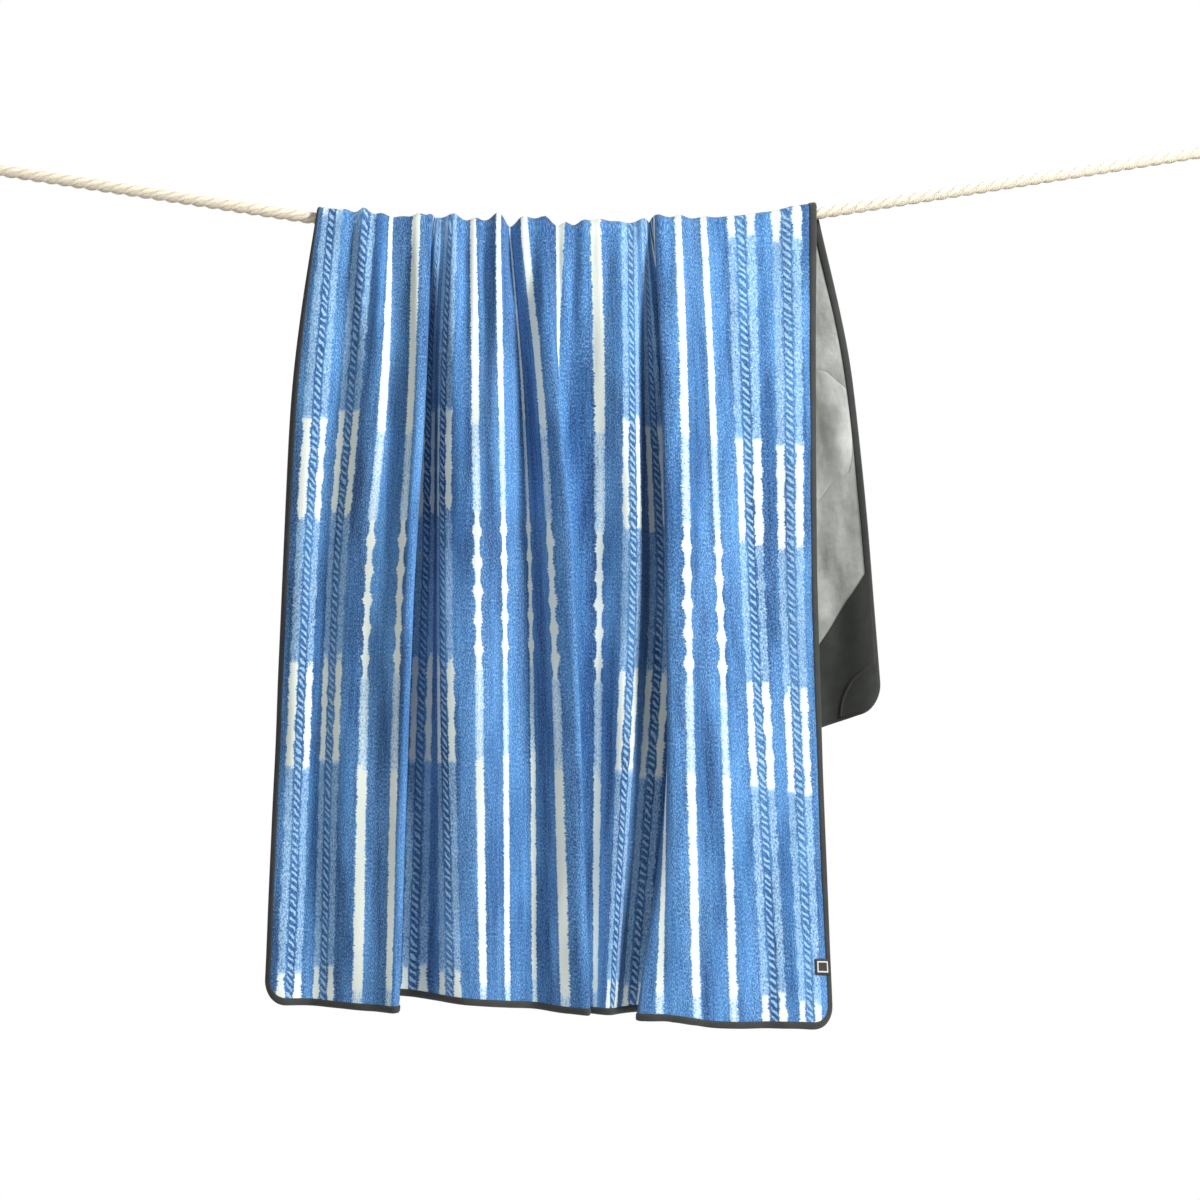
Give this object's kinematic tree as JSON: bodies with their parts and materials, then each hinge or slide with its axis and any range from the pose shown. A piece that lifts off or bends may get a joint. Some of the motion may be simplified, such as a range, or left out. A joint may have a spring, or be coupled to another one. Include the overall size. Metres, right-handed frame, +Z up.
{
  "type": "picnic and beach blanket on a line",
  "caption": "Fleece-faced travel blanket with a coated backing, taped edge and corner pockets, hung in soft folds over a taut cotton rope.",
  "frame": {"origin": "on the rope's centre line at its lowest point, under the middle of the gathered blanket", "axes": "+X along the line to the right as the longer drop is seen, +Y from the longer drop to the shorter one, +Z up"},
  "size_m": [1.7507, 0.1678, 1.1969],
  "materials": {
    "printed_fleece": "brushed polyester fleece, dyed-look blue and cream stripe print",
    "coated_backing": "silver-grey water-resistant coated polyester, soft sheen",
    "charcoal_cloth": "charcoal woven polyester, matte",
    "black_label": "black woven damask label",
    "cotton_rope": "natural three-strand twisted cotton",
    "steel": "brushed stainless steel"
  },
  "bodies": {
    "line": {"rope": "cotton_rope", "rope_socket_left": "steel", "rope_socket_right": "steel"},
    "blanket": {"face_fabric": "printed_fleece", "backing_fabric": "coated_backing", "edge_tape": "charcoal_cloth", "woven_label": "black_label", "corner_panel_front_left": "charcoal_cloth", "corner_pocket_front_left": "charcoal_cloth", "corner_panel_front_right": "charcoal_cloth", "corner_pocket_front_right": "charcoal_cloth", "corner_panel_back_left": "charcoal_cloth", "corner_pocket_back_left": "charcoal_cloth", "corner_panel_back_right": "charcoal_cloth", "corner_pocket_back_right": "charcoal_cloth"}
  },
  "joints": [
    {"name": "lift_off", "type": "slide", "parent": "line", "child": "blanket", "axis": [0, 0, 1], "range_m": [0, 1.15]}
  ]
}
